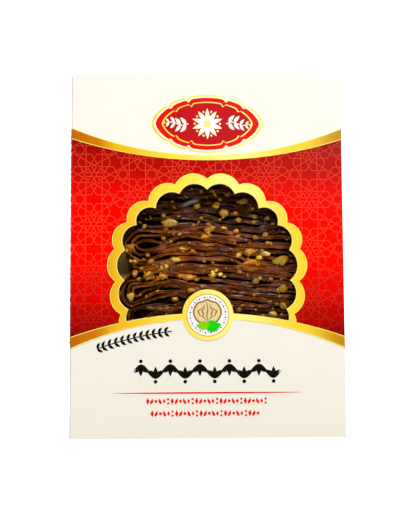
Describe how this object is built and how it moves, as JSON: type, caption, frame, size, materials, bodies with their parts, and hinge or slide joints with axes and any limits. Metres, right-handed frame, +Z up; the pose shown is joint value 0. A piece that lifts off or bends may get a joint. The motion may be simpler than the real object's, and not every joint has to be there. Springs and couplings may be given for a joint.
{
  "type": "windowed carton of walnut fruit leather",
  "caption": "Shut upright folding carton with a scalloped film window, through which flat-rolled dark fruit leather with walnut pieces shows.",
  "frame": {"origin": "middle of the carton's base, on the surface that it stands on", "axes": "+Z up, the window faces -Y, +X to the right as seen from the front"},
  "size_m": [0.15, 0.04, 0.2],
  "materials": {
    "carton_board": "gloss coated folding board, cream outside, grey-brown inside, printed in red and gold",
    "clear_film": "thin clear glossy film",
    "fruit_leather": "dark brown, waxy, slightly glossy cut fruit sheet",
    "walnut": "matt to oily tan nut pieces"
  },
  "bodies": {
    "root": {"carton": "carton_board", "window_film": "clear_film", "leather_roll_1": "fruit_leather", "leather_roll_2": "fruit_leather", "leather_roll_3": "fruit_leather", "leather_roll_4": "fruit_leather", "leather_roll_5": "fruit_leather", "leather_roll_6": "fruit_leather", "leather_roll_7": "fruit_leather", "walnut_piece_1": "walnut", "walnut_piece_2": "walnut", "walnut_piece_3": "walnut", "walnut_piece_4": "walnut", "walnut_piece_5": "walnut", "walnut_piece_6": "walnut", "walnut_piece_7": "walnut", "walnut_piece_8": "walnut", "walnut_piece_9": "walnut", "walnut_piece_10": "walnut", "walnut_piece_11": "walnut", "walnut_piece_12": "walnut", "walnut_piece_13": "walnut", "walnut_piece_14": "walnut", "walnut_piece_15": "walnut", "walnut_piece_16": "walnut", "walnut_piece_17": "walnut", "walnut_piece_18": "walnut", "walnut_piece_19": "walnut", "walnut_piece_20": "walnut", "walnut_piece_21": "walnut", "walnut_piece_22": "walnut", "walnut_piece_23": "walnut", "walnut_piece_24": "walnut", "walnut_piece_25": "walnut", "walnut_piece_26": "walnut", "walnut_piece_27": "walnut", "walnut_piece_28": "walnut", "walnut_piece_29": "walnut", "walnut_piece_30": "walnut"}
  },
  "joints": []
}
